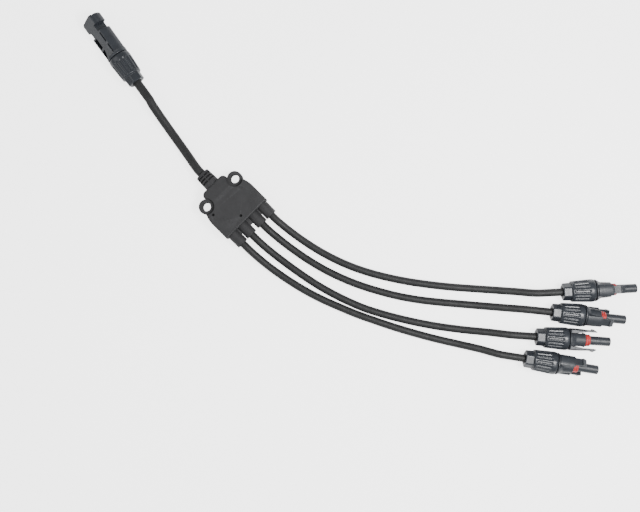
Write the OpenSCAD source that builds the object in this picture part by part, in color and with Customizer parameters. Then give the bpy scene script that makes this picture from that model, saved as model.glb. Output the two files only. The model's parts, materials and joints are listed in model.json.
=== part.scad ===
// Branch cable for solar panels: one input lead and four output leads meet in a flat moulded hub.
// The input lead ends in a slotted connector with a pin contact, each output lead in a nosed
// connector with a socket contact and two latch arms. A cap nut closes every connector's gland.
//
// Frame: the origin is at the middle of the hub's underside, on the surface that everything
// lies on. +X runs from the input lead to the output leads, +Z is up.
// A connector's own frame: +X from the cap nut's rear face to the tip, +Y to its left, +Z up.

/* [Hub] */
// Length of the flat block, without strain relief and outlet sleeves
hub_len = 38; // [36:0.5:40]
// Width of the flat block
hub_w = 43.5; // [43:0.5:46]
// Thickness of the flat block
hub_t = 14; // [13.5:0.5:16]
// Height of the two screw ears
ear_t = 11; // [8:0.5:12]
// Distance between the two screw holes
ear_pitch = 31; // [30:0.5:31]
// Distance from the output face back to the screw holes
ear_back = 29; // [28:0.5:30]
// Diameter of the screw holes
ear_hole_d = 6.8; // [5:0.2:7.2]
// Outer diameter of the ears
ear_d = 12; // [11.5:0.5:12.5]
// Length of the outlet sleeves
sleeve_len = 11; // [9:0.5:13]
// Length of the ribbed strain relief
relief_len = 12; // [12:0.5:14]

/* [Cables] */
// Outer diameter of the input cable
in_cable_d = 6.9; // [6.5:0.1:6.9]
// Outer diameter of the output cables
out_cable_d = 6; // [5.6:0.1:6]
// Diameter of the input cable's copper conductor
in_core_d = 3.1; // [2.8:0.1:3.3]
// Diameter of the output cables' copper conductor
out_core_d = 2.6; // [2.3:0.1:2.8]

/* [Cap nuts] */
// Largest diameter of the ribbed barrel
nut_d = 17.8; // [17.4:0.1:17.8]
// Diameter of the barrel beside the hexagon
nut_rear_d = 16.2; // [15.8:0.1:16.6]
// Distance across the hexagon's flats
nut_flats = 12.4; // [12.2:0.1:12.8]
// Length of the hexagon
nut_hex_len = 6.3; // [5.5:0.1:7]
// Overall length
nut_len = 24.4; // [24.4:0.1:24.6]
// Number of ribs round the barrel
nut_ribs = 18; // [12:1:24]

/* [Connectors] */
// Overall length of the nosed connector
nosed_len = 57.4; // [57.4:0.1:59]
// Diameter of its nose
nose_d = 7; // [6.8:0.1:7.2]
// Overall length of the slotted connector
slotted_len = 61.2; // [61.2:0.1:62]
// Width of the slotted connector across its rails
slotted_w = 18; // [17.6:0.1:18.2]
// Height of the slotted connector over its flat faces
slotted_h = 10.6; // [10.4:0.1:11]
// Diameter of the pin contact and of the sockets' mating pins
pin_d = 4; // [4:0.1:4]

/* [Hidden] */
$fn = 48;

// Colours
charcoal = [0.27, 0.27, 0.29];
slate = [0.25, 0.27, 0.30];
jacket_black = [0.16, 0.16, 0.17];
copper = [0.80, 0.48, 0.30];
tinned = [0.80, 0.80, 0.80];
seal_red = [0.80, 0.18, 0.18];
seal_black = [0.10, 0.10, 0.10];
clamp_grey = [0.35, 0.36, 0.38];

// The smallest gap between pieces that touch or slide in one another
fit_gap = 0.05;
// How far a cutting shape stands past the face that it opens
over = 1;

// Hub: places along X, and the heights and spacings of its cables
hub_face = (hub_len + relief_len - sleeve_len) / 2;
hub_front = hub_face - hub_len;
relief_end = hub_front - relief_len;
sleeve_end = hub_face + sleeve_len;
cable_z = hub_t / 2;
outlet_y = [15.7, 5.8, -5.8, -15.7];
ear_x = hub_face - ear_back;
round_x = hub_face - 15.4;
shoulder_half_w = 12;
shoulder_r = 4;
relief_r = [5.8, 6.3];
sleeve_r = [4.85, 4.7];
web_len = 5;
groove_w = 1.3;
groove_pitch = 2.5;
groove_first = 2;
groove_depth = 1.6;
spine_w = 1.3;
mould_pin_d = 2.2;
mould_pin_depth = 2.5;
mould_pins = [[-1, -16], [14.5, -1.3]];

// Splice bar: a flat bar with one crimp barrel in front and four behind
bar_x = [-3, 4];
bar_half_w = 18.5;
bar_half_t = 1;
in_barrel_r = 2.8;
out_barrel_r = 2.3;
in_barrel_end = -11;
out_barrel_end = 12;
in_jacket_start = -12;
out_jacket_start = 12.6;

// Connector: places along its X, and the radii of its bores
jacket_end = 19.4;
core_end = 27;
straight_back = 16;
stub_x = 11;
stub_r = 7;
collar_x = 24.9;
clamp_bore_r = 6.1;
seal_bore_x = 14.5;
crimp_bore_x = 19;
crimp_bore_r = 3.6;
contact_bore_x = 31;
axis_z = 9;

// Each connector: rear point of its axis, heading and roll in degrees
inlet = [-116.2, 14.7, 171, -50];
inlet_nut_turn = 20;
outlets = [[232.8, 133.3, 48, 90], [237.9, 116.3, 39, -62], [242.8, 94.2, 41, 0], [248.5, 76, 36, 54]];

// Routes of the cables, from inside the hub to where each lines up with its connector
in_route = [
    [in_jacket_start, 0, cable_z], [-33, 0, cable_z], [-38, 0.5, 6.6], [-43, 1.3, 5.6],
    [-48, 2.2, 4.6], [-54, 3.2, 3.8], [-60, 4.2, 3.5], [-66, 5.2, 3.5], [-72, 6.2, 3.9],
    [-78, 7.3, 4.8], [-84, 8.4, 6], [-90, 9.6, 7.3], [-96, 10.9, 8.4]
];
out_routes = [
    [
        [out_jacket_start, 15.7, cable_z], [33, 15.7, cable_z], [47, 16.8, 5], [61, 18.9, 3.3],
        [75, 21.9, 3], [89, 26, 3], [103, 31.4, 3], [117, 38.3, 3], [130, 46, 3],
        [143, 54.7, 3], [156, 64.4, 3], [169, 74.8, 3], [181, 85.1, 3], [193, 95.6, 3.6],
        [206, 107, 6]
    ],
    [
        [out_jacket_start, 5.8, cable_z], [33, 5.8, cable_z], [47, 6.7, 5], [61, 8.5, 3.3],
        [76, 11.3, 3], [91, 15.2, 3], [105, 20.1, 3], [119, 26.2, 3], [133, 33.6, 3],
        [146, 41.4, 3], [159, 50.5, 3], [171, 60, 3], [183, 70, 3], [196, 81, 3.6],
        [210, 93, 6]
    ],
    [
        [out_jacket_start, -5.8, cable_z], [33, -5.8, cable_z], [47, -5.2, 5], [61, -3.6, 3.3],
        [76, -1.3, 3], [91, 1.6, 3], [105, 5.2, 3], [119, 9.8, 3], [133, 15.4, 3],
        [147, 22.6, 3], [160, 30.2, 3], [173, 38.5, 3], [186, 47.6, 3], [200, 58.4, 3.6],
        [215, 70.9, 6]
    ],
    [
        [out_jacket_start, -15.7, cable_z], [33, -15.7, cable_z], [47, -15.2, 5], [61, -13.7, 3.3],
        [76, -11, 3], [91, -7.4, 3], [105, -3, 3], [119, 2.4, 3], [133, 8.2, 3],
        [147, 14.9, 3], [161, 21.9, 3], [175, 29.5, 3], [189, 37.6, 3], [204, 47, 3.6],
        [219, 56.6, 6]
    ]
];

// A point on a connector's axis, x millimetres in front of its rear face
function on_axis(conn, x) = [conn[0] + x * cos(conn[2]), conn[1] + x * sin(conn[2]), axis_z];
function jacket_path(route, conn) =
    concat(route, [on_axis(conn, -straight_back), on_axis(conn, jacket_end)]);
// The conductor runs along the same route and stands bare at both ends
function core_path(route, conn, start_x) =
    concat([[start_x, route[0][1], route[0][2]]],
           [for (i = [1 : len(route) - 1]) route[i]],
           [on_axis(conn, -straight_back), on_axis(conn, core_end)]);

function unit(v) = v / norm(v);
function tangent(path, i) = unit(path[min(i + 1, len(path) - 1)] - path[max(i - 1, 0)]);
function ring(path, i, r, sides) =
    let (t = tangent(path, i), side = unit(cross([0, 0, 1], t)), up = cross(t, side))
    [for (k = [0 : sides - 1]) path[i] + r * (cos(360 * k / sides) * side + sin(360 * k / sides) * up)];
function rings(path, r, sides) = [for (i = [0 : len(path) - 1]) each ring(path, i, r, sides)];
// The two triangles of each wall panel, facing out, or in when flipped
function wall(first, count, sides, flipped) = [
    for (i = [0 : count - 2], k = [0 : sides - 1])
    let (a = first + i * sides + k, b = first + i * sides + (k + 1) % sides, c = a + sides, d = b + sides)
    each flipped ? [[a, d, c], [a, b, d]] : [[a, c, d], [a, d, b]]
];
// The ring-shaped end between the outer and the inner wall
function rim(outer, inner, sides, flipped) = [
    for (k = [0 : sides - 1])
    let (a = outer + k, b = outer + (k + 1) % sides, c = inner + k, d = inner + (k + 1) % sides)
    each flipped ? [[a, d, b], [a, c, d]] : [[a, b, d], [a, d, c]]
];

module swept_rod(path, r, sides) {
    n = len(path);
    polyhedron(
        points = rings(path, r, sides),
        faces = concat(
            wall(0, n, sides, false),
            [[for (k = [0 : sides - 1]) k]],
            [[for (k = [sides - 1 : -1 : 0]) (n - 1) * sides + k]]
        )
    );
}

module swept_pipe(path, r, bore_r, sides) {
    n = len(path);
    polyhedron(
        points = concat(rings(path, r, sides), rings(path, bore_r, sides)),
        faces = concat(
            wall(0, n, sides, false),
            wall(n * sides, n, sides, true),
            rim(0, n * sides, sides, false),
            rim((n - 1) * sides, (2 * n - 1) * sides, sides, true)
        )
    );
}

// A round piece about the X axis, from [radius, x] points
module turned(points) {
    rotate([0, 90, 0])
        rotate_extrude()
            polygon(points);
}

// A round bar about the X axis
module bar(r, x0, x1) {
    translate([x0, 0, 0])
        rotate([0, 90, 0])
            cylinder(r = r, h = x1 - x0);
}

module tube(r, bore_r, x0, x1) {
    difference() {
        bar(r, x0, x1);
        bar(bore_r, x0 - over, x1 + over);
    }
}

// A block from x0 to x1, centred on the X axis
module block(x0, x1, half_w, half_h) {
    translate([x0, -half_w, -half_h])
        cube([x1 - x0, 2 * half_w, 2 * half_h]);
}

module both_sides() {
    children();
    mirror([0, 1, 0])
        children();
}

// Moves a piece from its connector's frame to its place, rolled by a given angle
module place_turned(conn, roll) {
    translate([conn[0], conn[1], axis_z])
        rotate([roll, 0, conn[2]])
            children();
}

// The same, rolled by the connector's own angle
module place(conn) {
    place_turned(conn, conn[3])
        children();
}

// ---- Hub ----

module hub_outline() {
    translate([round_x, -hub_w / 2])
        square([hub_face - round_x, hub_w]);
    translate([round_x, 0])
        circle(r = hub_w / 2, $fn = 96);
    translate([hub_front, -shoulder_half_w + shoulder_r])
        square([hub_len / 2, 2 * (shoulder_half_w - shoulder_r)]);
    translate([hub_front + shoulder_r, -shoulder_half_w])
        square([hub_len / 2, 2 * shoulder_half_w]);
    for (side = [-1, 1])
        translate([hub_front + shoulder_r, side * (shoulder_half_w - shoulder_r)])
            circle(r = shoulder_r);
}

// One ring of four slots in the strain relief, between spines above, below and at both sides
module relief_groove(x) {
    difference() {
        tube(relief_r[1] + over, relief_r[0] - groove_depth, x, x + groove_w);
        block(x - over, x + groove_w + over, spine_w / 2, relief_r[1] + 2 * over);
        block(x - over, x + groove_w + over, relief_r[1] + 2 * over, spine_w / 2);
    }
}

module hub_body() {
    color(charcoal)
    difference() {
        union() {
            difference() {
                linear_extrude(hub_t)
                    hub_outline();
                both_sides()
                    translate([ear_x, ear_pitch / 2, ear_t])
                        cylinder(d = ear_d + 0.8, h = hub_t);
            }
            both_sides()
                translate([ear_x, ear_pitch / 2, 0])
                    cylinder(d = ear_d, h = ear_t);
            translate([relief_end, 0, cable_z])
                rotate([0, 90, 0])
                    cylinder(r1 = relief_r[0], r2 = relief_r[1], h = relief_len + over);
            for (y = outlet_y)
                translate([hub_face - over, y, cable_z])
                    rotate([0, 90, 0])
                        cylinder(r1 = sleeve_r[0], r2 = sleeve_r[1], h = sleeve_len + over);
            translate([hub_face - over, outlet_y[3], cable_z - 2])
                cube([web_len + over, outlet_y[0] - outlet_y[3], 4]);
        }
        both_sides()
            translate([ear_x, ear_pitch / 2, -over])
                cylinder(d = ear_hole_d, h = hub_t + 2 * over);
        for (i = [0 : 2])
            translate([0, 0, cable_z])
                relief_groove(relief_end + groove_first + i * groove_pitch);
        for (p = mould_pins)
            translate([p[0], p[1], hub_t - mould_pin_depth])
                cylinder(d = mould_pin_d, h = mould_pin_depth + over);
        translate([0, 0, cable_z]) {
            bar(in_cable_d / 2 + fit_gap, relief_end - over, in_jacket_start);
            bar(in_barrel_r + fit_gap, in_jacket_start - over, bar_x[0] + over + fit_gap);
            block(bar_x[0] - fit_gap, bar_x[1] + fit_gap, bar_half_w + fit_gap, bar_half_t + fit_gap);
            for (y = outlet_y)
                translate([0, y, 0]) {
                    bar(out_cable_d / 2 + fit_gap, out_jacket_start, sleeve_end + over);
                    bar(out_barrel_r + fit_gap, bar_x[1] - over - fit_gap, out_jacket_start + over);
                }
        }
    }
}

module splice_bar() {
    color(tinned)
    translate([0, 0, cable_z])
    difference() {
        union() {
            block(bar_x[0], bar_x[1], bar_half_w, bar_half_t);
            bar(in_barrel_r, in_barrel_end, bar_x[0] + over);
            for (y = outlet_y)
                translate([0, y, 0])
                    bar(out_barrel_r, bar_x[1] - over, out_barrel_end);
        }
        bar(in_core_d / 2 + fit_gap, in_barrel_end - over, bar_x[0]);
        for (y = outlet_y)
            translate([0, y, 0])
                bar(out_core_d / 2 + fit_gap, bar_x[1], out_barrel_end + over);
    }
}

// ---- Cables ----

module jacket(route, conn, cable_d, core_d) {
    color(jacket_black)
        swept_pipe(jacket_path(route, conn), cable_d / 2, core_d / 2 + 3 * fit_gap, 10);
}

module conductor(route, conn, core_d, start_x) {
    color(copper)
        swept_rod(core_path(route, conn, start_x), core_d / 2, 8);
}

module out_jacket(i) {
    jacket(out_routes[i], outlets[i], out_cable_d, out_core_d);
}

module out_conductor(i) {
    conductor(out_routes[i], outlets[i], out_core_d, bar_x[1] + 0.1);
}

// ---- Parts that both kinds of connector share ----

// Shallow flutes between the ribs, following the barrel's taper
module nut_flutes() {
    flute_x = [8.2, 19.6];
    flute_r = 0.9;
    taper = atan2(nut_d - nut_rear_d, 2 * (21.5 - nut_hex_len));
    for (i = [0 : nut_ribs - 1])
        rotate([360 * i / nut_ribs, 0, 0])
            translate([flute_x[0], 0, nut_rear_d / 2 + 0.5])
                rotate([0, -taper, 0])
                    bar(flute_r, 0, flute_x[1] - flute_x[0]);
}

module cap_nut(cable_d) {
    color(slate)
    difference() {
        union() {
            rotate([0, 90, 0])
                rotate(30)
                    cylinder(d = nut_flats / cos(30), h = nut_hex_len + over, $fn = 6);
            turned([
                [0, nut_hex_len], [nut_rear_d / 2 - 0.6, nut_hex_len], [nut_rear_d / 2, nut_hex_len + 0.8],
                [nut_d / 2, 21.5], [nut_d / 2, 22.6], [nut_d / 2 - 0.6, nut_len], [0, nut_len]
            ]);
        }
        nut_flutes();
        bar(cable_d / 2 + 0.4, -over, nut_len);
        bar(5.2, 3, nut_len);
        bar(stub_r + 0.1, 8.6, nut_len + over);
    }
}

// The rubber sleeve that the clamp squeezes on to the cable
module cable_seal(cable_d, seal_r) {
    color(seal_black)
        tube(seal_r, cable_d / 2 + fit_gap, 5, 18);
}

module out_cable_seal(i) {
    place(outlets[i])
        cable_seal(out_cable_d, outlet_seal_r);
}

// A ring with six fingers that the nut closes round the seal
module clamp(seal_r) {
    finger_x = [4, 9];
    color(clamp_grey)
    difference() {
        union() {
            bar(5.1, finger_x[0], 14);
            bar(6, finger_x[1], 14);
        }
        bar(seal_r + fit_gap, -over, 15);
        for (i = [0 : 2])
            rotate([60 * i, 0, 0])
                block(finger_x[0] - over, finger_x[1] - 0.6, 0.5, 7);
    }
}

// The round rear of a housing, which the cap nut screws on to, and its collar
module gland_stub(collar_r, collar_end) {
    bar(stub_r, stub_x, collar_x + over / 2);
    turned([
        [0, collar_x], [collar_r - 0.3, collar_x], [collar_r, collar_x + 0.5], [collar_r, collar_end],
        [0, collar_end]
    ]);
}

module gland_bores(seal_r) {
    bar(clamp_bore_r, stub_x - over, seal_bore_x);
    bar(seal_r + 0.1, stub_x - over, crimp_bore_x);
    bar(crimp_bore_r, stub_x - over, contact_bore_x);
}

// ---- Slotted connector with the pin contact ----

inlet_seal_r = 4.5;
slotted_collar_end = 26.8;
rail_end = 47.2;
tip_block_x = 53;
core_half_w = 4.9;
rail_round_r = 9.1;
channel_x = 27.6;
channel_y = [6, 8.1];
channel_half_h = 3.4;
narrow_pocket_y = [-6.8, -5.1];
wide_pocket_y = [2.9, 7.6];
pockets_x = [[27.6, 35.3], [37.2, 45.8]];
pocket_floor = 2.5;
pocket_core_r = 4.9;
plate_edge_y = 2.1;
plate_bend_x = 35.5;
plate_step = 0.45;
neck_bore_r = 2.5;
socket_x = 43.6;
socket_r = nose_d / 2 + 0.2;
mouth_r = 4.6;
mouth_x = slotted_len - 4.8;

// What lies beside the raised plate: its edge runs straight from the tip and then bends out to the collar
module beside_plate() {
    polygon([
        [slotted_len + over, plate_edge_y], [plate_bend_x, plate_edge_y], [33, plate_edge_y + 0.7],
        [30, plate_edge_y + 2.4], [channel_x, plate_edge_y + 4.8], [slotted_collar_end, slotted_w],
        [slotted_len + over, slotted_w]
    ]);
}

// The step and the pockets of the upper face; the lower face has the same ones turned half round
module face_cuts() {
    translate([0, 0, slotted_h / 2 - plate_step])
        linear_extrude(slotted_h)
            beside_plate();
    for (p = pockets_x) {
        translate([p[0], narrow_pocket_y[0], 0])
            cube([p[1] - p[0], narrow_pocket_y[1] - narrow_pocket_y[0], slotted_h]);
        difference() {
            translate([0, 0, pocket_floor])
                linear_extrude(slotted_h)
                    intersection() {
                        translate([p[0], wide_pocket_y[0]])
                            square([p[1] - p[0], wide_pocket_y[1] - wide_pocket_y[0]]);
                        offset(delta = -0.4)
                            beside_plate();
                    }
            bar(pocket_core_r, 0, slotted_len);
        }
    }
}

module inlet_housing() {
    color(slate)
    place(inlet)
    difference() {
        union() {
            gland_stub(8.6, slotted_collar_end);
            intersection() {
                block(slotted_collar_end - over, slotted_len, slotted_w / 2, slotted_h / 2);
                bar(rail_round_r, 0, slotted_len);
            }
        }
        both_sides() {
            translate([rail_end, core_half_w, -slotted_h])
                cube([tip_block_x - rail_end, slotted_w, 2 * slotted_h]);
            translate([channel_x, channel_y[0], -channel_half_h])
                cube([slotted_len, channel_y[1] - channel_y[0], 2 * channel_half_h]);
        }
        face_cuts();
        rotate([180, 0, 0])
            face_cuts();
        gland_bores(inlet_seal_r);
        bar(neck_bore_r, stub_x, socket_x + over);
        bar(socket_r, socket_x, slotted_len + over);
        bar(mouth_r, mouth_x, slotted_len + over);
    }
}

module inlet_pin() {
    pin_r = pin_d / 2;
    color(tinned)
    place(inlet)
    difference() {
        turned([
            [0, 20.5], [2.4, 20.5], [2.4, 29], [3.4, 29], [3.4, 30.8], [2.4, 30.8], [2.4, socket_x],
            [pin_r, socket_x + 0.2], [pin_r, 54.8], [pin_r - 0.5, 55.8], [0.7, 56.2], [0, 56.2]
        ]);
        bar(in_core_d / 2 + fit_gap, 19, core_end + 0.2);
    }
}

// ---- Nosed connector with the socket contact ----

outlet_seal_r = 4.1;
cheek_half_w = 4.8;
nosed_collar_end = 25.8;
front_x = 37.4;
neck_r = 3.9;
nose_x = 41.8;
contact_bore_r = 2.7;
nose_lip = 1.2;
nose_lip_r = 2.4;
arm_root_x = 26.1;
arm_root_r = 8.7;
arm_front_x = 37.8;
arm_tip_x = 46.6;
barb_x = 43.2;
arm_y = [6.5, 8.0];
barb_y = 8.8;

module outlet_housing(i) {
    color(slate)
    place(outlets[i])
    difference() {
        union() {
            gland_stub(8.5, nosed_collar_end);
            intersection() {
                turned([
                    [0, 25.4], [8.5, 25.4], [8.5, nosed_collar_end], [6.3, 29.2], [6.1, 33], [5.7, front_x],
                    [0, front_x]
                ]);
                block(25, front_x, cheek_half_w, stub_r + 2);
            }
            block(front_x - 1.2, front_x, 5.4, 5);
            bar(neck_r, front_x - over, nose_x);
        }
        gland_bores(outlet_seal_r);
        bar(contact_bore_r, stub_x, nose_x + over);
    }
}

// The long round nose in front of the red seal
module nose_tube(i) {
    color(slate)
    place(outlets[i])
    difference() {
        bar(nose_d / 2, nose_x + fit_gap, nosed_len);
        bar(contact_bore_r, nose_x - over, nosed_len - nose_lip);
        bar(nose_lip_r, nose_x, nosed_len + over);
    }
}

// The left latch arm: a wide curved root, thinner towards the front to leave room for the squeeze,
// then a narrow finger that ends in a barb
module latch_arm() {
    root_half_h = 4.4;
    finger_half_h = 3;
    color(slate)
    union() {
        intersection() {
            translate([0, 0, -root_half_h])
                linear_extrude(2 * root_half_h)
                    polygon([
                        [arm_root_x, 5.05], [31, 5.25], [36, 6.15], [arm_front_x, 6.4],
                        [arm_front_x, arm_root_r], [arm_root_x, arm_root_r]
                    ]);
            bar(arm_root_r, 0, arm_tip_x);
        }
        translate([0, 0, -finger_half_h])
            linear_extrude(2 * finger_half_h)
                polygon([
                    [arm_front_x - 2, arm_y[0] + 0.1], [arm_tip_x, arm_y[0]], [arm_tip_x, arm_y[0] + 0.7],
                    [barb_x + 0.3, barb_y], [barb_x, barb_y], [barb_x, arm_y[1]], [arm_front_x - 2, arm_y[1]]
                ]);
    }
}

module latch_left(i) {
    place(outlets[i])
        latch_arm();
}

module latch_right(i) {
    place(outlets[i])
        mirror([0, 1, 0])
            latch_arm();
}

socket_bore_x = 38;
drill_point = 1.2;
socket_end = 56;
socket_bore_r = pin_d / 2 + 0.1;
band_x = [45, 52];
band_groove_r = 2.35;

module socket_contact(i) {
    color(tinned)
    place(outlets[i])
    difference() {
        turned([
            [0, 20.5], [2.4, 20.5], [2.4, 29], [3.4, 29], [3.4, 30.8], [2.6, 30.8], [2.6, socket_end],
            [0, socket_end]
        ]);
        bar(out_core_d / 2 + fit_gap, 19, core_end + 0.2);
        turned([
            [0, socket_bore_x - drill_point], [socket_bore_r, socket_bore_x],
            [socket_bore_r, socket_end + over], [0, socket_end + over]
        ]);
        bar(band_groove_r, band_x[0], band_x[1]);
    }
}

module contact_band(i) {
    color(copper)
    place(outlets[i])
        tube(band_groove_r - 0.02, socket_bore_r, band_x[0] + fit_gap, band_x[1] - fit_gap);
}

// The red face seal: a tall and a low lip round the neck
module nose_seal(i) {
    color(seal_red)
    place(outlets[i])
    difference() {
        turned([
            [0, 37.6], [4.3, 37.6], [4.75, 38], [4.75, 39.3], [4.35, 39.6], [4.35, 39.9], [4.6, 40.2],
            [4.6, 41.1], [4.2, 41.5], [0, 41.5]
        ]);
        bar(neck_r + 0.02, 36, 42);
    }
}

// ---- Assembly ----

hub_body();
splice_bar();

jacket(in_route, inlet, in_cable_d, in_core_d);  // lead_in_jacket
conductor(in_route, inlet, in_core_d, bar_x[0] - 0.1);  // lead_in_conductor
inlet_housing();
inlet_pin();
place(inlet) cable_seal(in_cable_d, inlet_seal_r);  // inlet_cable_seal
place(inlet) clamp(inlet_seal_r);  // inlet_clamp
place_turned(inlet, inlet_nut_turn) cap_nut(in_cable_d);  // inlet_nut

for (i = [0 : 3]) {
    out = str("out_", i + 1);
    lead = str("lead_", i + 1);
    out_jacket(i);
    out_conductor(i);
    outlet_housing(i);
    nose_tube(i);
    latch_left(i);
    latch_right(i);
    socket_contact(i);
    contact_band(i);
    nose_seal(i);
    out_cable_seal(i);
    place(outlets[i]) clamp(outlet_seal_r);
    place_turned(outlets[i], 0) cap_nut(out_cable_d);
}
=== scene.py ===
import json
import math
import bmesh
import bpy
from mathutils import Matrix, Vector

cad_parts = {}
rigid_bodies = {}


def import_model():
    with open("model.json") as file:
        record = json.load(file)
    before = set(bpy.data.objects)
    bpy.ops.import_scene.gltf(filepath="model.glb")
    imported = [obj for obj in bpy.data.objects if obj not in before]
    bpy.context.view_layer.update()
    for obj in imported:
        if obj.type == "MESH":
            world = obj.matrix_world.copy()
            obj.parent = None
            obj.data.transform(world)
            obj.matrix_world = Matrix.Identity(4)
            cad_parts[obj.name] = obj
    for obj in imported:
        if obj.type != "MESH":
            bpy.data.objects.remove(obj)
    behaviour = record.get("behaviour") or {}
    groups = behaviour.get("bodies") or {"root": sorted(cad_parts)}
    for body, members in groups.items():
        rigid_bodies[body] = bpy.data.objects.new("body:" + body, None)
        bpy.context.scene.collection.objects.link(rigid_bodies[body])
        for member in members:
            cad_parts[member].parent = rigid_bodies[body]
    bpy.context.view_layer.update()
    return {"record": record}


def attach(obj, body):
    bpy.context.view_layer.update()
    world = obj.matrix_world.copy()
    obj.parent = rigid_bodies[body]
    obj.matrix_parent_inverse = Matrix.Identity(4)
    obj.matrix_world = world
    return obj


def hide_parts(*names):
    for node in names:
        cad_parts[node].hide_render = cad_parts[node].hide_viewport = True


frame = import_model()
scene = bpy.context.scene
MM = 0.001

# ---- camera: straight above the leads, level with the hub's outlets ----
cam_data = bpy.data.cameras.new("camera")
cam_data.lens = 50
cam_data.sensor_width = 36
camera = bpy.data.objects.new("camera", cam_data)
camera.location = (0.07975, 0.01986, 0.700)
camera.rotation_euler = (0, 0, math.radians(45))
scene.collection.objects.link(camera)
scene.camera = camera

# ---- where things are, in millimetres, as the CAD has them ----
AXIS_Z = 9.0    # the connectors' axes
CABLE_Z = 7.0   # the leads' axes where they leave the hub
OUTLET_Y = (15.7, 5.8, -5.8, -15.7)
HUB_FACE, HUB_FRONT, RELIEF_END, SLEEVE_END = 19.5, -18.5, -30.5, 30.5
HUB_HALF_WIDTH, HUB_HEIGHT = 21.75, 14.0
EAR = (-9.5, 15.5)
EAR_HEIGHT, EAR_SEAT_R, EAR_BOSS_R, EAR_HOLE_R = 11.0, 6.5, 6.0, 3.4
PIN_MARKS = ((-1, -16, 11.5), (14.5, -1.3, 11.5), (-0.8, 14.3, 13.85))   # x, y and the floor's height
PIN_MARK_R = 1.1

# A jacket ends JACKET_END ahead of its connector's origin, and runs straight from STRAIGHT_BACK behind it
JACKET_END, STRAIGHT_BACK = 19.4, 16.0
IN_CABLE_D, IN_CORE_D, IN_CORE_ROOM_R = 6.9, 3.1, 2.85
OUT_CABLE_D, OUT_CORE_D, OUT_CORE_ROOM_R = 6.0, 2.6, 2.35

# Each connector: x, y, heading and roll in degrees
INLET = (-116.2, 14.7, 171, -50)
OUTLETS = ((232.8, 133.3, 48, 90), (237.9, 116.3, 39, -62), (242.8, 94.2, 41, 0), (248.5, 76, 36, 54))
INLET_NUT_TURN = 20

# Each lead's route, from inside the hub to its connector
IN_ROUTE = (
    (-12, 0, 7), (-33, 0, 7), (-38, 0.5, 6.6), (-43, 1.3, 5.6), (-48, 2.2, 4.6), (-54, 3.2, 3.8),
    (-60, 4.2, 3.5), (-66, 5.2, 3.5), (-72, 6.2, 3.9), (-78, 7.3, 4.8), (-84, 8.4, 6),
    (-90, 9.6, 7.3), (-96, 10.9, 8.4),
)
OUT_ROUTES = (
    ((12.6, 15.7, 7), (33, 15.7, 7), (47, 16.8, 5), (61, 18.9, 3.3), (75, 21.9, 3), (89, 26, 3),
     (103, 31.4, 3), (117, 38.3, 3), (130, 46, 3), (143, 54.7, 3), (156, 64.4, 3), (169, 74.8, 3),
     (181, 85.1, 3), (193, 95.6, 3.6), (206, 107, 6)),
    ((12.6, 5.8, 7), (33, 5.8, 7), (47, 6.7, 5), (61, 8.5, 3.3), (76, 11.3, 3), (91, 15.2, 3),
     (105, 20.1, 3), (119, 26.2, 3), (133, 33.6, 3), (146, 41.4, 3), (159, 50.5, 3), (171, 60, 3),
     (183, 70, 3), (196, 81, 3.6), (210, 93, 6)),
    ((12.6, -5.8, 7), (33, -5.8, 7), (47, -5.2, 5), (61, -3.6, 3.3), (76, -1.3, 3), (91, 1.6, 3),
     (105, 5.2, 3), (119, 9.8, 3), (133, 15.4, 3), (147, 22.6, 3), (160, 30.2, 3), (173, 38.5, 3),
     (186, 47.6, 3), (200, 58.4, 3.6), (215, 70.9, 6)),
    ((12.6, -15.7, 7), (33, -15.7, 7), (47, -15.2, 5), (61, -13.7, 3.3), (76, -11, 3), (91, -7.4, 3),
     (105, -3, 3), (119, 2.4, 3), (133, 8.2, 3), (147, 14.9, 3), (161, 21.9, 3), (175, 29.5, 3),
     (189, 37.6, 3), (204, 47, 3.6), (219, 56.6, 6)),
)


def on_axis(conn, x):
    """The point on a connector's axis at x in its own millimetres."""
    heading = math.radians(conn[2])
    return (conn[0] + x * math.cos(heading), conn[1] + x * math.sin(heading), AXIS_Z)


def placed(conn, turn=None):
    """The matrix from a connector's own millimetres to the row frame's metres."""
    roll = conn[3] if turn is None else turn
    return (Matrix.Scale(MM, 4) @ Matrix.Translation((conn[0], conn[1], AXIS_Z))
            @ Matrix.Rotation(math.radians(conn[2]), 4, "Z")
            @ Matrix.Rotation(math.radians(roll), 4, "X"))


ROW = Matrix.Scale(MM, 4)   # from the row's millimetres to its metres


# ---- materials ----
def nodes_of(name):
    """A new material, its node tree and its main shader."""
    m = bpy.data.materials.new(name)
    m.use_nodes = True
    t = m.node_tree
    return m, t, t.nodes["Principled BSDF"]


def noise(t, scale, detail=4.0, rough=0.6):
    """A cloudy pattern fixed to the piece, with values about 0.5."""
    coord = t.nodes.new("ShaderNodeTexCoord")
    n = t.nodes.new("ShaderNodeTexNoise")
    n.inputs["Scale"].default_value = scale
    n.inputs["Detail"].default_value = detail
    n.inputs["Roughness"].default_value = rough
    t.links.new(coord.outputs["Object"], n.inputs["Vector"])
    return n.outputs["Fac"]


def spread(t, fac, low, high, from_low=0.3, from_high=0.7):
    """fac's range, stretched to low ... high."""
    n = t.nodes.new("ShaderNodeMapRange")
    n.inputs["From Min"].default_value = from_low
    n.inputs["From Max"].default_value = from_high
    n.inputs["To Min"].default_value = low
    n.inputs["To Max"].default_value = high
    t.links.new(fac, n.inputs["Value"])
    return n.outputs["Result"]


def two_tone(t, fac, dark, light, from_low=0.35, from_high=0.65):
    """A colour between dark and light, by fac."""
    ramp = t.nodes.new("ShaderNodeValToRGB")
    ramp.color_ramp.elements[0].position = from_low
    ramp.color_ramp.elements[0].color = (*dark, 1)
    ramp.color_ramp.elements[1].position = from_high
    ramp.color_ramp.elements[1].color = (*light, 1)
    t.links.new(fac, ramp.inputs["Fac"])
    return ramp.outputs["Color"]


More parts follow.
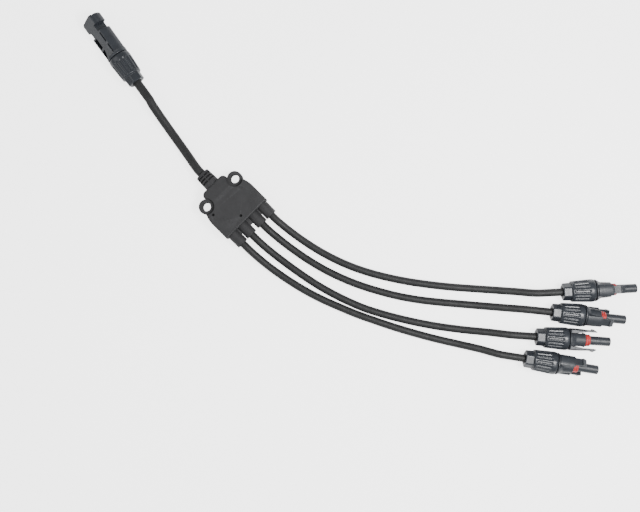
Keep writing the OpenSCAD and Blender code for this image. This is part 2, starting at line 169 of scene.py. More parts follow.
def bump(t, height, depth, strength=1.0, under=None):
    """Fine relief of a depth in metres, over another bump's relief if under is given."""
    n = t.nodes.new("ShaderNodeBump")
    n.inputs["Strength"].default_value = strength
    n.inputs["Distance"].default_value = depth
    t.links.new(height, n.inputs["Height"])
    if under is not None:
        t.links.new(under, n.inputs["Normal"])
    return n.outputs["Normal"]


def plastic(name, tone, vary, rough, grain, depth, edge=0.35, gloss=0.4):
    """Moulded plastic: cloudy tone, fine grain, faint flow marks, and edges rubbed a little lighter.

    vary is how far the tone strays, edge how strong the rubbing is, and depth the grain's, in metres.
    """
    m, t, s = nodes_of(name)
    body = two_tone(t, noise(t, 130, 3), [c * (1 - vary) for c in tone],
                    [c * (1 + vary) for c in tone])
    worn = t.nodes.new("ShaderNodeMix")
    worn.data_type = "RGBA"
    geo = t.nodes.new("ShaderNodeNewGeometry")
    rub = t.nodes.new("ShaderNodeMath")
    rub.operation = "MULTIPLY"
    t.links.new(spread(t, geo.outputs["Pointiness"], 0, edge, 0.53, 0.62), rub.inputs[0])
    t.links.new(spread(t, noise(t, 900, 5), 0.2, 1, 0.4, 0.6), rub.inputs[1])
    t.links.new(rub.outputs[0], worn.inputs["Factor"])
    t.links.new(body, worn.inputs["A"])
    worn.inputs["B"].default_value = (*[min(1, c * 2.1 + 0.02) for c in tone], 1)
    t.links.new(worn.outputs["Result"], s.inputs["Base Color"])
    t.links.new(spread(t, noise(t, 420, 5), rough - 0.07, rough + 0.08), s.inputs["Roughness"])
    flow = bump(t, noise(t, 160, 2), depth * 3, 0.35)
    t.links.new(bump(t, noise(t, grain, 3, 0.7), depth, 0.8, flow), s.inputs["Normal"])
    s.inputs["Specular IOR Level"].default_value = gloss
    return m


def metal(name, dark, light, rough, grain):
    """Bare metal with a cloudy tone and a fine grain."""
    m, t, s = nodes_of(name)
    t.links.new(two_tone(t, noise(t, 300, 4), dark, light), s.inputs["Base Color"])
    s.inputs["Metallic"].default_value = 1.0
    t.links.new(spread(t, noise(t, grain, 4), rough - 0.08, rough + 0.1), s.inputs["Roughness"])
    t.links.new(bump(t, noise(t, grain * 2, 3), 0.00001, 0.6), s.inputs["Normal"])
    return m


def rubber(name, tone, rough, scatter=0.0):
    """Soft rubber or silicone, with a faint bloom; scatter lets light into it."""
    m, t, s = nodes_of(name)
    body = two_tone(t, noise(t, 240, 4), [c * 0.8 for c in tone], [min(1, c * 1.18) for c in tone])
    t.links.new(body, s.inputs["Base Color"])
    t.links.new(spread(t, noise(t, 800, 4), rough - 0.08, rough + 0.08), s.inputs["Roughness"])
    t.links.new(bump(t, noise(t, 5200, 2), 0.00002, 0.7), s.inputs["Normal"])
    s.inputs["Sheen Weight"].default_value = 0.12
    s.inputs["Sheen Roughness"].default_value = 0.4
    s.inputs["Subsurface Weight"].default_value = scatter
    s.inputs["Subsurface Scale"].default_value = 0.001
    return m


def jacket_material():
    """Cable jacket: matt rubber with fine crossing marks and a cloudy tone."""
    m, t, s = nodes_of("cable_jacket")
    coord = t.nodes.new("ShaderNodeTexCoord")
    waves = []
    for angle in (38, -38):
        place = t.nodes.new("ShaderNodeMapping")
        place.inputs["Rotation"].default_value = (0, 0, math.radians(angle))
        t.links.new(coord.outputs["UV"], place.inputs["Vector"])
        wave = t.nodes.new("ShaderNodeTexWave")
        wave.inputs["Scale"].default_value = 260
        wave.inputs["Distortion"].default_value = 1.2
        wave.inputs["Detail"].default_value = 2
        wave.inputs["Detail Scale"].default_value = 2
        t.links.new(place.outputs["Vector"], wave.inputs["Vector"])
        waves.append(wave.outputs["Fac"])
    cross = t.nodes.new("ShaderNodeMath")
    cross.operation = "MULTIPLY"
    t.links.new(waves[0], cross.inputs[0])
    t.links.new(waves[1], cross.inputs[1])
    tone = two_tone(t, noise(t, 210, 4), (0.014, 0.0145, 0.015), (0.022, 0.0225, 0.023))
    mix = t.nodes.new("ShaderNodeMix")
    mix.data_type = "RGBA"
    t.links.new(spread(t, cross.outputs[0], 0, 0.35, 0, 0.8), mix.inputs["Factor"])
    t.links.new(tone, mix.inputs["A"])
    mix.inputs["B"].default_value = (0.042, 0.043, 0.045, 1)
    t.links.new(mix.outputs["Result"], s.inputs["Base Color"])
    t.links.new(spread(t, noise(t, 600, 5), 0.44, 0.62), s.inputs["Roughness"])
    grain = bump(t, noise(t, 3600, 3), 0.00002, 0.7)
    t.links.new(bump(t, cross.outputs[0], 0.00005, 0.8, grain), s.inputs["Normal"])
    s.inputs["Specular IOR Level"].default_value = 0.35
    return m


def strand_material():
    """Twisted copper strands, as slanting bands round the conductor."""
    m, t, s = nodes_of("copper_strand")
    coord = t.nodes.new("ShaderNodeTexCoord")
    wave = t.nodes.new("ShaderNodeTexWave")
    wave.bands_direction = "DIAGONAL"
    wave.inputs["Scale"].default_value = 900
    wave.inputs["Distortion"].default_value = 0.6
    t.links.new(coord.outputs["Object"], wave.inputs["Vector"])
    tone = two_tone(t, wave.outputs["Fac"], (0.42, 0.19, 0.10), (0.86, 0.48, 0.30), 0.2, 0.8)
    t.links.new(tone, s.inputs["Base Color"])
    s.inputs["Metallic"].default_value = 1.0
    t.links.new(spread(t, noise(t, 900, 3), 0.22, 0.42), s.inputs["Roughness"])
    t.links.new(bump(t, wave.outputs["Fac"], 0.00008), s.inputs["Normal"])
    return m


HUB_MAT = plastic("hub_plastic", (0.034, 0.034, 0.036), vary=0.10, rough=0.58, grain=3200,
                  depth=0.00003, edge=0.3, gloss=0.3)
BODY_MAT = plastic("connector_plastic", (0.028, 0.032, 0.039), vary=0.12, rough=0.38, grain=4200,
                   depth=0.000014, edge=0.4, gloss=0.5)
NUT_MAT = plastic("nut_plastic", (0.027, 0.031, 0.038), vary=0.12, rough=0.28, grain=4200,
                  depth=0.000006, edge=0.4, gloss=0.5)
CLAMP_MAT = plastic("clamp_plastic", (0.06, 0.06, 0.07), vary=0.1, rough=0.45, grain=4200,
                    depth=0.00002)
JACKET_MAT = jacket_material()
STRAND_MAT = strand_material()
TIN_MAT = metal("tinned_copper", (0.62, 0.62, 0.60), (0.83, 0.83, 0.81), rough=0.28, grain=900)
SPRING_MAT = metal("spring_copper", (0.62, 0.38, 0.18), (0.86, 0.62, 0.36), rough=0.25, grain=1200)
SEAL_MAT = rubber("red_silicone", (0.52, 0.035, 0.035), rough=0.42, scatter=0.12)
BLACK_MAT = rubber("black_rubber", (0.025, 0.025, 0.026), rough=0.6)


# ---- mesh tools, all in millimetres ----
WELD = 0.002    # points closer than this are one point after a cut
UNCUT = 99.0    # the distance of a ring's flats when it has none


def skin(rings, loop=True):
    """Quads between rings of equal length: a loop joins the last to the first, else the ends are capped."""
    n = len(rings[0])
    verts = [tuple(p) for ring in rings for p in ring]
    faces = []
    last = len(rings) if loop else len(rings) - 1
    for i in range(last):
        a, b = i * n, (i + 1) % len(rings) * n
        faces += [(a + k, a + (k + 1) % n, b + (k + 1) % n, b + k) for k in range(n)]
    if not loop:
        faces.append(tuple(reversed(range(n))))
        faces.append(tuple(range((len(rings) - 1) * n, len(rings) * n)))
    return verts, faces


def to_mesh(name, *parts):
    """One mesh of parts, each with its points and faces."""
    bm = bmesh.new()
    for verts, faces in parts:
        made = [bm.verts.new(v) for v in verts]
        for f in faces:
            bm.faces.new([made[i] for i in f])
    bmesh.ops.recalc_face_normals(bm, faces=bm.faces)
    mesh = bpy.data.meshes.new(name)
    bm.to_mesh(mesh)
    bm.free()
    return mesh


def loose(name, *parts):
    """A working object, in millimetres, that is used up before the end."""
    o = bpy.data.objects.new(name, to_mesh(name, *parts))
    scene.collection.objects.link(o)
    return o


def applied(o):
    """The object's mesh with its modifiers applied; the object goes."""
    graph = bpy.context.evaluated_depsgraph_get()
    mesh = bpy.data.meshes.new_from_object(o.evaluated_get(graph))
    bpy.data.objects.remove(o)
    return mesh


def combined(base, steps):
    """base (a mesh) joined with or cut by each part in turn; a step is (operation, part, part, ...)."""
    o = bpy.data.objects.new("base", base)
    scene.collection.objects.link(o)
    tools = []
    for operation, *parts in steps:
        for part in parts:
            tool = loose("tool", part)
            tools.append(tool)
            m = o.modifiers.new("step", "BOOLEAN")
            m.operation = operation
            m.solver = "EXACT"
            m.object = tool
    mesh = applied(o)
    for tool in tools:
        bpy.data.objects.remove(tool)
    bm = bmesh.new()
    bm.from_mesh(mesh)
    bmesh.ops.remove_doubles(bm, verts=bm.verts, dist=WELD)
    bmesh.ops.dissolve_degenerate(bm, edges=bm.edges, dist=WELD)
    bm.to_mesh(mesh)
    bm.free()
    return mesh


def softened(mesh, width, angle):
    """The mesh with its edges above an angle in degrees rounded off."""
    o = bpy.data.objects.new("soft", mesh)
    scene.collection.objects.link(o)
    m = o.modifiers.new("edge", "BEVEL")
    m.width = width
    m.segments = 2
    m.limit_method = "ANGLE"
    m.angle_limit = math.radians(angle)
    m.use_clamp_overlap = True
    return applied(o)


def piece(name, mesh, where, material, body, slot, *nodes):
    """A finished piece in the row frame: smooth faces, with edges kept sharp above an angle."""
    mesh = mesh.copy()
    mesh.name = name
    mesh.transform(where)
    bm = bmesh.new()
    bm.from_mesh(mesh)
    bmesh.ops.recalc_face_normals(bm, faces=bm.faces)
    limit = math.radians(32)
    for f in bm.faces:
        f.smooth = True
    for e in bm.edges:
        e.smooth = not (len(e.link_faces) == 2 and e.calc_face_angle(0) > limit)
    bm.to_mesh(mesh)
    bm.free()
    mesh.materials.clear()
    mesh.materials.append(material)
    o = bpy.data.objects.new(name, mesh)
    scene.collection.objects.link(o)
    even = o.modifiers.new("even", "WEIGHTED_NORMAL")
    even.keep_sharp = True
    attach(o, body)
    if nodes:
        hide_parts(*nodes)
    return o


def span(a, b, n):
    """n even steps from a to b, both included."""
    return [a + (b - a) * i / n for i in range(n + 1)]


def around(n):
    """n even angles round a circle."""
    return [2 * math.pi * k / n for k in range(n)]


def ring_at(x, radius, n, cy=0.0, cz=0.0):
    """n points round a line along X; radius is a number, or a function of the angle."""
    reach = radius if callable(radius) else lambda a: radius
    return [(x, cy + reach(a) * math.cos(a), cz + reach(a) * math.sin(a)) for a in around(n)]


def rod(x0, x1, r, n, cy=0.0, cz=0.0):
    """A round bar along X."""
    return skin([ring_at(x, r, n, cy, cz) for x in (x0, x1)], False)


def peg(cx, cy, z0, z1, r, n, edge=0.0):
    """An upright round peg, with rounded rims when edge is set."""
    rows = [(z0, r), (z1, r)]
    if edge:
        rows = [(z0, r - edge), (z0 + edge * 0.3, r - edge * 0.3), (z0 + edge, r),
                (z1 - edge, r), (z1 - edge * 0.3, r - edge * 0.3), (z1, r - edge)]
    return skin([[(cx + q * math.cos(a), cy + q * math.sin(a), z) for a in around(n)]
                 for z, q in rows], False)


def brick(x0, x1, y0, y1, z0, z1):
    """A block between opposite corners."""
    return skin([[(x, y0, z0), (x, y1, z0), (x, y1, z1), (x, y0, z1)] for x in (x0, x1)], False)


def clipped(x, r, w=UNCUT, arc=20, flat=10, across=False):
    """A ring with two sides cut flat at a distance w: left and right, or top and bottom if across.

    Each round stretch has arc steps and each side flat steps, whether it is cut or not.
    """
    phi = math.asin(w / r) if w < r else math.radians(50)   # an uncut ring only shares out its points so
    pts = [(r * math.sin(a), r * math.cos(a)) for a in span(-phi, phi, arc)]
    if w < r:
        top = r * math.cos(phi)
        pts += [(w, z) for z in span(top, -top, flat)[1:-1]]
    else:
        pts += [(r * math.sin(a), r * math.cos(a)) for a in span(phi, math.pi - phi, flat)[1:-1]]
    pts += [(-p[0], -p[1]) for p in pts]
    return [(x, p[1], p[0]) if across else (x, p[0], p[1]) for p in pts]


# ---- cables ----
ROUTE_STEP = 1.3    # between a cable's rings
JACKET_SIDES = 20
CORE_GAP = 0.15     # between a jacket and its conductor


def curve_through(points):
    """A smooth line through the points, straight in its first and last stretch."""
    pts = [Vector(p) for p in points]
    ways = []
    for i in range(len(pts)):
        if i < 2:
            ways.append((pts[1] - pts[0]).normalized())
        elif i > len(pts) - 3:
            ways.append((pts[-1] - pts[-2]).normalized())
        else:
            ways.append((pts[i + 1] - pts[i - 1]).normalized())
    line = [pts[0]]
    for i in range(len(pts) - 1):
        gap = (pts[i + 1] - pts[i]).length
        count = max(2, round(gap / ROUTE_STEP))
        for k in range(1, count + 1):
            u = k / count
            start = pts[i] * (2 * u**3 - 3 * u**2 + 1) + ways[i] * gap * (u**3 - 2 * u**2 + u)
            line.append(start + pts[i + 1] * (3 * u**2 - 2 * u**3) + ways[i + 1] * gap * (u**3 - u**2))
    return line


def cable(name, route, conn, diameter, core, leads):
    """A jacket, open at both ends, along its route; its UV runs in metres along and round it."""
    line = curve_through([*route, on_axis(conn, -STRAIGHT_BACK), on_axis(conn, JACKET_END)])
    n = JACKET_SIDES
    outer, inner, along = [], [], [0.0]
    for i, p in enumerate(line):
        ahead = (line[min(i + 1, len(line) - 1)] - line[max(i - 1, 0)]).normalized()
        side = Vector((0, 0, 1)).cross(ahead).normalized()
        up = ahead.cross(side)
        if i:
            along.append(along[-1] + (p - line[i - 1]).length)
        spokes = [math.cos(a) * side + math.sin(a) * up for a in around(n)]
        outer.append([p + diameter / 2 * spoke for spoke in spokes])
        inner.append([p + (core / 2 + CORE_GAP) * spoke for spoke in spokes])
    mesh = to_mesh(name, skin(outer + inner[::-1]))
    uv = mesh.uv_layers.new(name="along")
    total = len(line)
    for poly in mesh.polygons:
        cols = [mesh.loops[j].vertex_index % n for j in poly.loop_indices]
        wraps = max(cols) - min(cols) > n // 2
        for j, col in zip(poly.loop_indices, cols):
            row = mesh.loops[j].vertex_index // n
            row = row if row < total else 2 * total - 1 - row
            col = n if wraps and col == 0 else col
            uv.data[j].uv = (along[row] * MM, math.pi * diameter * MM * col / n)
    o = piece(name, mesh, ROW, JACKET_MAT, "harness", "cable_jacket", leads + "_jacket")


cable("input_cable", IN_ROUTE, INLET, IN_CABLE_D, IN_CORE_D, "lead_in")
for i, (route, conn) in enumerate(zip(OUT_ROUTES, OUTLETS)):
    cable("output_cable_%d" % (i + 1), route, conn, OUT_CABLE_D, OUT_CORE_D,
          "lead_%d" % (i + 1))


# ---- cap nut ----
NUT_SIDES = 360
RIBS, RIB_DEPTH = 18, 0.6
RIBS_FROM, RIBS_RISE = 7.4, 1.3         # the ribs begin here, and reach full height so much further on
RIBS_TO, RIBS_FALL = 20.6, 1.6
RIB_FLAT, RIB_FLANK = 0.12, 0.62        # a rib's flat top and its flank, as shares of half a rib's pitch
BARREL_FROM, BARREL_TO = 7.3, 21.2      # the barrel widens evenly between these
BARREL_R, BARREL_FLARE = 8.1, 0.78
IN_HOLE_R, OUT_HOLE_R = 3.85, 3.4       # round the cable, at the nut's small end


def ease(u):
    """A smooth step from 0 to 1."""
    return u * u * (3 - 2 * u)


def hexagon(flats, corner):
    """A hexagon's radius by angle: its width across flats, with the corners turned off round."""
    def reach(a):
        off_flat = (a + math.pi / 2 + math.pi / 6) % (math.pi / 3) - math.pi / 6
        return min(flats / 2 / math.cos(off_flat), corner)
    return reach


def ribbed(x, r):
    """The barrel's radius by angle: low ribs round r that fade out at both ends."""
    rise = ease(min(1.0, max(0.0, (x - RIBS_FROM) / RIBS_RISE), max(0.0, (RIBS_TO - x) / RIBS_FALL)))

    def reach(a):
        off_rib = abs(((a * RIBS / (2 * math.pi) + 0.5) % 1) * 2 - 1)
        flute = min(1.0, max(0.0, (off_rib - RIB_FLAT) / RIB_FLANK))
        return r - RIB_DEPTH * rise * ease(flute)
    return reach


def nut_mesh(hole):
    """A cap nut: the hexagon, a shoulder, the ribbed barrel, and back through the inside."""
    profile = [(0.0, hole + 0.3), (0.0, hexagon(11.6, 6.3)), (0.45, hexagon(12.4, 6.75)),
               (5.7, hexagon(12.4, 6.95)), (6.1, hexagon(12.9, 7.2)),
               (6.3, 7.4), (6.34, 7.6), (6.5, 7.85), (6.9, 8.06)]
    for x in span(BARREL_FROM, BARREL_TO, 46):
        along = (x - BARREL_FROM) / (BARREL_TO - BARREL_FROM)
        profile.append((x, ribbed(x, BARREL_R + BARREL_FLARE * along)))
    profile += [(21.8, 8.9), (22.6, 8.89), (23.3, 8.8), (23.9, 8.62), (24.25, 8.42), (24.4, 8.2),
                (24.4, 7.2), (24.2, 7.1), (8.6, 7.1), (8.6, 5.2), (3.0, 5.2), (3.0, hole), (0.3, hole)]
    return to_mesh("nut", skin([ring_at(x, reach, NUT_SIDES) for x, reach in profile]))


# ---- the threaded rear of both housings ----
THREAD_FROM, THREAD_TO, THREAD_FADE = 12.0, 23.0, 0.8
THREAD_R, THREAD_PITCH, THREAD_DEPTH = 7.0, 1.5, 0.5


def threaded_rear(ring):
    """Rings with a helical ridge, which the cap nut turns on; ring(x, r) is the housing's own."""
    rows = [ring(11.0, 6.1), ring(11.0, 6.6), ring(11.4, THREAD_R)]
    for x in span(THREAD_FROM, THREAD_TO, 44):
        fade = min(1.0, (x - THREAD_FROM) / THREAD_FADE, (THREAD_TO - x) / THREAD_FADE)
        row = []
        for _, y, z in ring(x, THREAD_R):
            turn = (x / THREAD_PITCH - math.atan2(z, y) / (2 * math.pi)) % 1.0
            cut = THREAD_DEPTH * fade * (1 - abs(2 * turn - 1)) ** 1.2
            shrink = (THREAD_R - cut) / THREAD_R
            row.append((x, y * shrink, z * shrink))
        rows.append(row)
    return rows


# ---- nosed housing ----
def nosed_mesh():
    """The nosed housing: thread, collar, a neck with flat sides for the arms, the nose, and the bore."""
    collar = ((24.9, 7.0), (24.9, 8.15), (25.0, 8.4), (25.2, 8.5), (25.65, 8.5), (25.8, 8.4), (25.82, 8.3))
    neck = ((25.84, 8.3, 4.9), (26.0, 8.3, 4.8), (26.8, 7.8, 4.8), (27.8, 7.15, 4.8), (28.7, 6.6, 4.8),
            (29.3, 6.36, 4.8), (30.2, 6.27, 4.8), (33.0, 6.1, 4.8), (36.2, 5.85, 4.8), (36.24, 5.85, 5.3),
            (36.5, 5.85, 5.4), (37.1, 5.8, 5.4), (37.4, 5.5, 5.1))
    nose = ((37.4, 4.1), (37.5, 3.9), (41.6, 3.9), (41.8, 3.8), (41.9, 3.5), (56.8, 3.5), (57.15, 3.42),
            (57.35, 3.25), (57.4, 3.05))
    bore = ((57.4, 2.55), (57.32, 2.45), (57.1, 2.4), (56.2, 2.4), (56.2, 2.7), (31.0, 2.7), (31.0, 3.6),
            (19.0, 3.6), (19.0, 4.2), (14.5, 4.2), (14.5, 6.1))
    rows = threaded_rear(clipped) + [clipped(*row) for row in (*collar, *neck, *nose, *bore)]
    return to_mesh("nosed", skin(rows))


def arm_mesh():
    """The left latch arm: a wide curved root, a narrow finger, and a barb at its end."""
    collar_r = 8.5

    def row(x, y_in, y_out, half, bow):
        """A section: half is half its height, and bow runs from 0 (flat) to 1 (as round as the collar)."""
        outer = [(x, y_out - bow * (1 - math.cos(math.asin(min(1, abs(z) / collar_r)))) * collar_r, z)
                 for z in span(half, -half, 12)]
        inner = [(x, y_in, z) for z in span(-half, half, 12)]
        return outer + inner
    root = ((26.1, 5.15, 8.45, 4.2, 0.9), (26.4, 5.1, 8.65, 4.4, 0.9), (31.0, 5.3, 8.6, 4.4, 0.9),
            (36.0, 6.15, 8.4, 4.4, 0.85), (37.2, 6.3, 8.25, 4.4, 0.7), (37.7, 6.4, 8.15, 4.2, 0.5))
    finger = ((37.85, 6.5, 8.05, 3.2, 0.3), (38.2, 6.55, 8.0, 3.0, 0.2), (40.0, 6.5, 7.95, 3.0, 0.1),
              (43.1, 6.5, 7.95, 3.0, 0.0))
    barb = ((43.2, 6.5, 8.75, 3.0, 0.0), (43.55, 6.5, 8.8, 3.0, 0.0), (45.1, 6.5, 8.0, 3.0, 0.0),
            (46.4, 6.5, 7.25, 2.95, 0.0), (46.6, 6.6, 7.05, 2.8, 0.0))
    rows = [row(*section) for section in (*root, *finger, *barb)]
    return softened(to_mesh("arm", skin(rows, False)), 0.16, 40)


def seal_mesh():
    """The face seal: a high lip and a lower one in front of it."""
    lips = ((37.6, 3.92), (37.6, 4.1), (37.7, 4.4), (37.95, 4.62), (38.3, 4.74), (38.8, 4.75),
            (39.15, 4.68), (39.4, 4.5), (39.6, 4.36), (39.85, 4.36), (40.05, 4.48), (40.3, 4.58),
            (40.7, 4.6), (41.05, 4.53), (41.3, 4.35), (41.5, 4.15), (41.5, 3.92))
    return to_mesh("seal", skin([ring_at(x, r, 72) for x, r in lips]))


# ---- slotted housing ----
BAYS = ((27.6, 35.3), (37.2, 45.8))     # the pockets' stretches of x, behind and in front of the rib
PLATE_TOP, PAST_FACE = 4.85, 9.0        # a face's step, and a height clear of the face


def ring_across(x, r, w=UNCUT):
    return clipped(x, r, w, 18, 14, True)


def mirrored_brick(x0, x1, y0, y1, z0, z1, y_sign, z_sign=1):
    """A brick on either side, by the signs."""
    ys, zs = sorted((y_sign * y0, y_sign * y1)), sorted((z_sign * z0, z_sign * z1))
    return brick(x0, x1, *ys, *zs)


def face_cutters(s):
    """What is cut from the upper face (s = 1), or from the lower one (-1), which is turned half round."""
    def upright(shape, z0):
        return skin([[(x, s * y, s * z) for x, y in shape] for z in (z0, PAST_FACE)], False)
    plate_edge = ((62.2, 2.1), (35.9, 2.1), (34.6, 2.3), (33.0, 2.8), (31.4, 3.6), (30.0, 4.5),
                  (28.6, 5.8), (27.6, 6.9), (26.8, 18.0), (62.2, 18.0))
    rear = ((35.3, 2.9), (34.4, 3.0), (33.0, 3.4), (31.4, 4.2), (30.0, 5.2), (28.8, 6.4), (28.2, 7.6),
            (35.3, 7.6))
    front = ((45.8, 2.9), (37.2, 2.9), (37.2, 7.6), (45.8, 7.6))
    steps = [upright(plate_edge, PLATE_TOP)]
    steps += [mirrored_brick(x0, x1, 5.1, 6.8, 0, PAST_FACE, -s, s) for x0, x1 in BAYS]
    return steps, [upright(rear, 2.5), upright(front, 2.5)]


def slotted_mesh():
    """The slotted housing: a tube with flat faces, cut by side windows, slots, steps and pockets."""
    collar = ((24.9, 7.0), (24.9, 8.2), (25.05, 8.45), (25.35, 8.6), (26.4, 8.6))
    faces = ((26.5, 8.6, 8.5), (26.75, 8.65, 7.4), (27.1, 8.75, 6.3), (27.5, 8.85, 5.45), (27.8, 8.9, 5.3),
             (47.0, 9.0, 5.3), (59.6, 9.0, 5.3), (60.5, 8.6, 5.3), (61.0, 8.1, 5.25), (61.2, 7.8, 5.05))
    mouth = ((61.2, 4.75), (60.9, 4.6), (56.8, 4.6), (56.4, 3.75), (56.2, 3.7), (43.6, 3.7), (43.6, 2.5),
             (31.0, 2.5), (31.0, 3.6), (19.0, 3.6), (19.0, 4.6), (14.5, 4.6), (14.5, 6.1))
    rows = threaded_rear(ring_across) + [ring_across(*row) for row in (*collar, *faces, *mouth)]
    base = to_mesh("slotted", skin(rows))
    cuts, pockets = [], []
    for s in (1, -1):
        window = mirrored_brick(47.2, 53.0, 4.9, 12, -12, 12, s)
        side_slot = mirrored_brick(27.6, 62.2, 6.0, 8.1, -3.4, 3.4, s)
        cuts += [window, side_slot]
    for s in (1, -1):
        steps, hollows = face_cutters(s)
        cuts += steps
        pockets += hollows
    # A pocket stops at the tube round the pin, so the tube is first taken out of its cutter
    tube = rod(26.0, 47.0, 4.9, 64)
    for pocket in pockets:
        cutter = combined(to_mesh("pocket", pocket), [("DIFFERENCE", tube)])
        cuts.append(([tuple(v.co) for v in cutter.vertices], [tuple(f.vertices) for f in cutter.polygons]))
    return softened(combined(base, [("DIFFERENCE", *cuts)]), 0.2, 38)


# ---- hub ----
def arc(cx, cy, r, start, end, n):
    """Points on a round stretch between two angles in degrees."""
    return [(cx + r * math.cos(math.radians(a)), cy + r * math.sin(math.radians(a)))
            for a in span(start, end, n)]


def hub_outline():
    """The body from above: a straight outlet side, round flanks, and a narrower round-cornered front."""
    flank_x, front_half, corner_r = 4.1, 12, 4
    end = 180 - math.degrees(math.asin(front_half / HUB_HALF_WIDTH))
    half = (arc(flank_x, 0, HUB_HALF_WIDTH, 90, end, 26)
            + arc(HUB_FRONT + corner_r, front_half - corner_r, corner_r, 90, 180, 8))
    face = [(HUB_FACE, -HUB_HALF_WIDTH), (HUB_FACE, HUB_HALF_WIDTH)]
    return face + half + [(x, -y) for x, y in reversed(half)]


def inset(pts, d):
    """The outline moved inwards by d along its corner normals."""
    out = []
    for i, p in enumerate(pts):
        here, before, after = Vector(p), Vector(pts[i - 1]), Vector(pts[(i + 1) % len(pts)])
        u, v = (here - before).normalized(), (after - here).normalized()
        inwards = Vector((-u.y, u.x)) + Vector((-v.y, v.x))
        scale = d / max(0.5, inwards.length_squared / 2) if inwards.length else 0
        out.append(tuple(here + inwards * scale))
    return out


def relief_part():
    """The strain relief: three rings of four slots, with a spine above, below and at each side."""
    bore_r, slot_depth, spine_half, first_slot, pitch = 3.55, 1.6, 0.7, 2.0, 2.5
    slot_edge = ((-0.02, 0), (0.12, 0.8), (0.25, 1), (1.05, 1), (1.18, 0.8), (1.32, 0))

    def slotted(r, cut):
        def reach(a):
            in_slot = min(abs(math.cos(a)), abs(math.sin(a))) * r > spine_half
            return r - (slot_depth * cut if in_slot else 0)
        return reach
    rows = [(RELIEF_END, bore_r), (RELIEF_END, 5.2), (RELIEF_END + 0.2, 5.6), (RELIEF_END + 0.6, 5.8)]
    stations = [(RELIEF_END + first_slot + pitch * i + x, cut) for i in range(3) for x, cut in slot_edge]
    for x, cut in stations + [(HUB_FRONT + 1, 0)]:
        rows.append((x, slotted(5.8 + 0.5 * (x - RELIEF_END) / 12, cut)))
    rows.append((HUB_FRONT + 1, bore_r))
    return skin([ring_at(x, reach, 96, 0, CABLE_Z) for x, reach in rows])


def hub_mesh():
    """The hub: a plate with a seam, ears, sleeves, bores, the bus bar's room and three pin marks."""
    rims = ((0, 0.6), (0.15, 0.2), (0.5, 0), (6.86, 0), (6.9, 0.14), (7.1, 0.14), (7.14, 0), (12.7, 0),
            (13.1, 0.07), (13.45, 0.25), (13.75, 0.55), (13.93, 0.92), (HUB_HEIGHT, 1.3))
    plate = skin([[(x, y, z) for x, y in inset(hub_outline(), d)] for z, d in rims], False)
    above = HUB_HEIGHT + 1
    ears = [(EAR[0], s * EAR[1]) for s in (1, -1)]
    steps = [("DIFFERENCE", peg(*ear, EAR_HEIGHT, above, EAR_SEAT_R, 72)) for ear in ears]
    steps += [("UNION", peg(*ear, 0, EAR_HEIGHT, EAR_BOSS_R, 72, edge=0.35)) for ear in ears]
    steps += [("DIFFERENCE", peg(*ear, -1, EAR_HEIGHT + 1, EAR_HOLE_R, 60)) for ear in ears]
    web = brick(HUB_FACE - 1, HUB_FACE + 5, OUTLET_Y[-1], OUTLET_Y[0], CABLE_Z - 2, CABLE_Z + 2)
    steps.append(("UNION", web))
    sleeve = ((HUB_FACE - 1, 4.85), (SLEEVE_END - 0.5, 4.71), (SLEEVE_END - 0.15, 4.6), (SLEEVE_END, 4.3))
    for y in OUTLET_Y:
        steps.append(("UNION", skin([ring_at(x, r, 64, y, CABLE_Z) for x, r in sleeve], False)))
    for y in OUTLET_Y:
        steps.append(("DIFFERENCE", rod(12.6, SLEEVE_END + 1, OUT_CABLE_D / 2 + 0.06, 40, y, CABLE_Z)))
        steps.append(("DIFFERENCE", rod(3.0, 13.0, OUT_CORE_ROOM_R, 32, y, CABLE_Z)))
    steps.append(("DIFFERENCE", rod(RELIEF_END - 1, -12, IN_CABLE_D / 2 + 0.05, 40, 0, CABLE_Z)))
    steps.append(("DIFFERENCE", rod(-12.5, -2, IN_CORE_ROOM_R, 32, 0, CABLE_Z)))
    bus_bar_room = brick(-3.05, 4.05, -18.55, 18.55, CABLE_Z - 1.05, CABLE_Z + 1.05)
    steps.append(("DIFFERENCE", bus_bar_room))
    for x, y, floor_z in PIN_MARKS:
        steps.append(("DIFFERENCE", peg(x, y, floor_z, above, PIN_MARK_R, 24)))
    return softened(combined(to_mesh("hub", plate), steps), 0.18, 40)


# ---- build ----
piece("hub", hub_mesh(), ROW, HUB_MAT, "harness", "hub_plastic", "hub_body")
piece("strain_relief", to_mesh("relief", relief_part()), ROW, HUB_MAT, "harness", "hub_plastic")
nosed, arm, lip, slotted = nosed_mesh(), arm_mesh(), seal_mesh(), slotted_mesh()
flip = Matrix.Scale(-1, 4, (0, 1, 0))   # the right arm is the left one's mirror image
piece("slotted_housing", slotted, placed(INLET), BODY_MAT, "harness", "connector_plastic", "inlet_housing")
piece("inlet_cap_nut", nut_mesh(IN_HOLE_R), placed(INLET, INLET_NUT_TURN), NUT_MAT, "inlet_cap",
      "nut_plastic", "inlet_nut")
out_nut = nut_mesh(OUT_HOLE_R)
for i, conn in enumerate(OUTLETS):
    tag = "out_%d" % (i + 1)
    piece(tag + "_nosed_housing", nosed, placed(conn), BODY_MAT, "harness", "connector_plastic",
          tag + "_housing", tag + "_nose_tube")
    piece(tag + "_cap_nut", out_nut, placed(conn, 0), NUT_MAT, tag + "_cap", "nut_plastic", tag + "_nut")
    piece(tag + "_arm_left", arm, placed(conn), BODY_MAT, tag + "_latch_left", "connector_plastic",
          tag + "_latch_left")
    piece(tag + "_arm_right", arm, placed(conn) @ flip, BODY_MAT, tag + "_latch_right", "connector_plastic",
          tag + "_latch_right")
    piece(tag + "_face_seal", lip, placed(conn), SEAL_MAT, "harness", "red_silicone", tag + "_nose_seal")

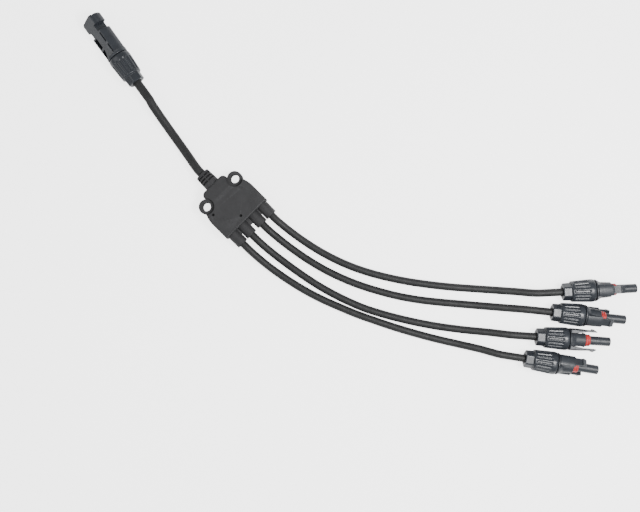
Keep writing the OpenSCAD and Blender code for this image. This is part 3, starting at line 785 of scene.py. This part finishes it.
# The CAD pieces that stay get their finish
FINISHES = {"tinned_copper": TIN_MAT, "copper_strand": STRAND_MAT, "spring_copper": SPRING_MAT,
            "black_rubber": BLACK_MAT, "clamp_plastic": CLAMP_MAT, "hub_plastic": HUB_MAT,
            "connector_plastic": BODY_MAT, "nut_plastic": NUT_MAT, "cable_jacket": JACKET_MAT,
            "red_silicone": SEAL_MAT}
for part in frame["record"]["subparts"]:
    node = bpy.data.objects[part["node"]]
    node.data.materials.clear()
    node.data.materials.append(FINISHES[part["material_slot"]])

# ---- floor and light ----
FLOOR_HALF = 9    # metres
corners = [(x * FLOOR_HALF, y * FLOOR_HALF, 0) for x, y in ((-1, -1), (1, -1), (1, 1), (-1, 1))]
floor = loose("floor", (corners, [(0, 1, 2, 3)]))
floor_mat, tree, shader = nodes_of("floor")
paper = two_tone(tree, noise(tree, 3, 3), (0.90, 0.90, 0.90), (0.93, 0.93, 0.93))
tree.links.new(paper, shader.inputs["Base Color"])
shader.inputs["Roughness"].default_value = 0.9
shader.inputs["Emission Color"].default_value = (1, 1, 1, 1)
# The floor looks burnt out, as on a lit table, but throws only a little light up on to the object
seen = tree.nodes.new("ShaderNodeLightPath")
glow = spread(tree, seen.outputs["Is Camera Ray"], 0.5, 2.9, 0, 1)
tree.links.new(glow, shader.inputs["Emission Strength"])
floor.data.materials.append(floor_mat)

world = bpy.data.worlds.new("studio")
world.use_nodes = True
world.node_tree.nodes["Background"].inputs["Color"].default_value = (1.0, 1.0, 1.0, 1)
world.node_tree.nodes["Background"].inputs["Strength"].default_value = 0.45
scene.world = world


def lamp(name, at, aim, size, power):
    """A round lamp, in metres and watts, turned towards a point."""
    data = bpy.data.lights.new(name, "AREA")
    data.shape = "DISK"
    data.size = size
    data.energy = power
    o = bpy.data.objects.new(name, data)
    o.location = at
    o.rotation_euler = (Vector(aim) - Vector(at)).to_track_quat("-Z", "Y").to_euler()
    scene.collection.objects.link(o)


# The key hangs over the nosed connectors, for the bright streaks along their nuts' ribs
lamp("key", (0.29, 0.23, 0.56), (0.2, 0.08, 0), 0.2, 3.2)
lamp("fill", (0.6, 0.1, 1.0), (0.1, 0.03, 0), 0.6, 4)
lamp("low", (-0.5, -0.45, 0.8), (0.1, 0.03, 0), 0.9, 2.5)
